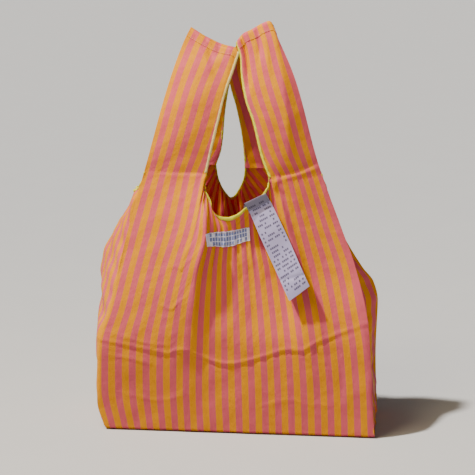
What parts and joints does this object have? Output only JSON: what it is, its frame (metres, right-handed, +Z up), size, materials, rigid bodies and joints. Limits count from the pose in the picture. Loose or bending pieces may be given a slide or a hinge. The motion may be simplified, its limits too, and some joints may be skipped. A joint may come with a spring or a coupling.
{
  "type": "shopping bag",
  "caption": "Folding T-shirt-style shopping bag in striped nylon, standing open, with two loop handles, side pleats and a hanging care label.",
  "frame": {"origin": "middle of the base, on the surface that the bag stands on", "axes": "+X to the right seen from the front, +Y from front to back, +Z up"},
  "size_m": [0.4, 0.15, 0.589],
  "materials": {
    "striped_cloth": "thin plain-woven nylon, orange and pink stripes about 9 mm wide along the cloth",
    "seam_allowance": "inside face of the same nylon, overlocked",
    "edge_binding": "lime yellow overlocked edge",
    "thread": "polyester sewing thread",
    "woven_label": null,
    "care_label": null
  },
  "bodies": {
    "bag": {"front_panel": "striped_cloth", "back_panel": "striped_cloth", "left_gusset": "striped_cloth", "right_gusset": "striped_cloth", "base_panel": "striped_cloth", "base_seam": "seam_allowance", "left_base_corner_seam": "seam_allowance", "right_base_corner_seam": "seam_allowance", "front_neck_binding": "edge_binding", "back_neck_binding": "edge_binding", "left_gusset_binding": "edge_binding", "right_gusset_binding": "edge_binding", "left_gusset_bar_tack": "thread", "right_gusset_bar_tack": "thread", "woven_label": "woven_label", "woven_label_stitching": "thread", "care_label_tail": "care_label", "care_label_stitching": "thread"},
    "left_handle": {"left_front_strap": "striped_cloth", "left_back_strap": "striped_cloth", "left_front_strap_lining": "striped_cloth", "left_back_strap_lining": "striped_cloth", "left_front_strap_binding": "edge_binding", "left_back_strap_binding": "edge_binding", "left_handle_seam": "striped_cloth", "left_handle_topstitch": "thread"},
    "right_handle": {"right_front_strap": "striped_cloth", "right_back_strap": "striped_cloth", "right_front_strap_lining": "striped_cloth", "right_back_strap_lining": "striped_cloth", "right_front_strap_binding": "edge_binding", "right_back_strap_binding": "edge_binding", "right_handle_seam": "striped_cloth", "right_handle_topstitch": "thread"},
    "care_label": {"care_label": "care_label"}
  },
  "joints": [
    {"name": "left_handle_swing", "type": "hinge", "parent": "bag", "child": "left_handle", "pos_m": [-0.086, 0, 0.415], "axis": [0, -1, 0], "range_deg": [0, 75]},
    {"name": "right_handle_swing", "type": "hinge", "parent": "bag", "child": "right_handle", "pos_m": [0.068, 0, 0.415], "axis": [0, 1, 0], "range_deg": [0, 75]},
    {"name": "care_label_flap", "type": "hinge", "parent": "bag", "child": "care_label", "pos_m": [0.026, -0.04592, 0.34138], "axis": [-0.891, -0.0754, -0.4477], "range_deg": [0, 120]}
  ]
}
